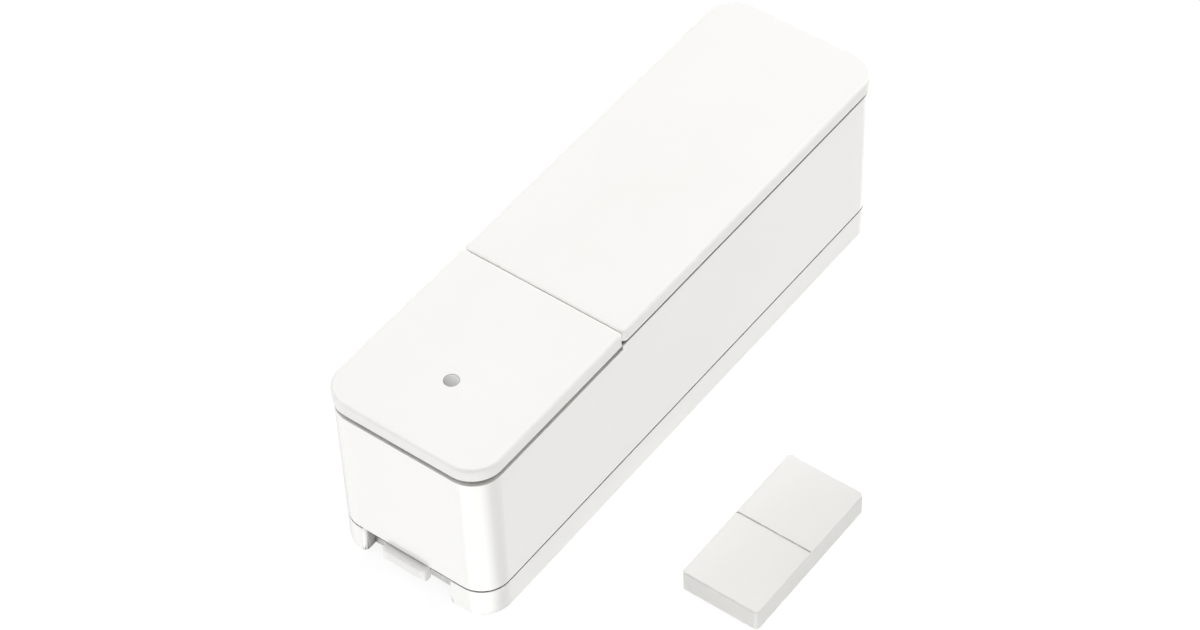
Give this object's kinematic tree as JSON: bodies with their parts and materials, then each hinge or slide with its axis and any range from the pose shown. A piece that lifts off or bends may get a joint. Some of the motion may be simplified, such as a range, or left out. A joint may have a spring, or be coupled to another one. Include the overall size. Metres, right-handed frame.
{
  "type": "door contact sensor",
  "caption": "Slim block-shaped door contact sensor with push button end, status light and unclipping wall plate, and a separate magnet block.",
  "frame": {"origin": "centre of the wall plate's back face, where it meets the door frame", "axes": "-Z into the wall, +Y along the sensor away from its push button, +X towards the magnet block"},
  "size_m": [0.0522, 0.0863, 0.0281],
  "materials": {
    "shell_white": "fine satin moulded ABS",
    "housing_gloss": "smooth moulded ABS",
    "inner_plastic": "matt moulded ABS",
    "foam_tape": "closed-cell foam tape",
    "lens": "translucent moulded acrylic",
    "screw_steel": "zinc plated",
    "board_green": "solder mask",
    "tinned_steel": "tin plated sheet",
    "chip_black": "moulded epoxy",
    "ceramic": "fired ceramic",
    "led_resin": "cast resin",
    "plunger_brown": "moulded acetal",
    "glass_clear": "fire polished tube",
    "lead_wire": "tinned wire",
    "contact_nickel": "nickel plated spring strip",
    "cell_steel": "nickel plated steel",
    "cell_core": "wound foil",
    "cell_sleeve": "shrunk film",
    "magnet_nickel": "nickel plated"
  },
  "bodies": {
    "wall_plate": {"mounting_plate": "housing_gloss", "plate_adhesive_pads": "foam_tape"},
    "latch": {"release_latch": "housing_gloss"},
    "housing": {"housing_shell": "housing_gloss", "rear_cover": "shell_white", "chassis": "inner_plastic", "chassis_screws": "screw_steel", "circuit_board": "board_green", "radio_shield": "tinned_steel", "processor_chip": "chip_black", "board_capacitors": "ceramic", "chip_antenna": "ceramic", "status_led": "led_resin", "switch_body": "chip_black", "switch_bezel": "tinned_steel", "reed_glass": "glass_clear", "reed_leads": "lead_wire", "battery_can": "cell_steel", "battery_core": "cell_core", "battery_sleeve": "cell_sleeve", "battery_terminal": "cell_steel", "battery_positive_contact": "contact_nickel", "battery_spring_contact": "contact_nickel"},
    "button": {"button_cap": "shell_white", "light_guide": "lens"},
    "plunger": {"switch_plunger": "plunger_brown"},
    "magnet": {"magnet_case": "shell_white", "magnet_base": "inner_plastic", "bar_magnet": "magnet_nickel", "magnet_adhesive_pad": "foam_tape"}
  },
  "joints": [
    {"name": "housing_lift", "type": "slide", "parent": "wall_plate", "child": "housing", "axis": [0, 0, 1], "range_m": [0, 0.03]},
    {"name": "latch_press", "type": "slide", "parent": "wall_plate", "child": "latch", "axis": [0, 1, 0], "range_m": [0, 0.0008], "stiffness_N_per_m": 1500},
    {"name": "button_press", "type": "slide", "parent": "housing", "child": "button", "axis": [0, 0, -1], "range_m": [0, 0.0003], "stiffness_N_per_m": 3000},
    {"name": "plunger_press", "type": "slide", "parent": "housing", "child": "plunger", "axis": [0, 0, -1], "range_m": [0, 0.0003]},
    {"name": "door_travel", "type": "slide", "parent": "wall_plate", "child": "magnet", "axis": [1, 0, 0], "range_m": [-0.012, 0.06]}
  ],
  "couplings": [
    {"joint": "plunger_press", "follows": "button_press", "ratio": 1}
  ]
}
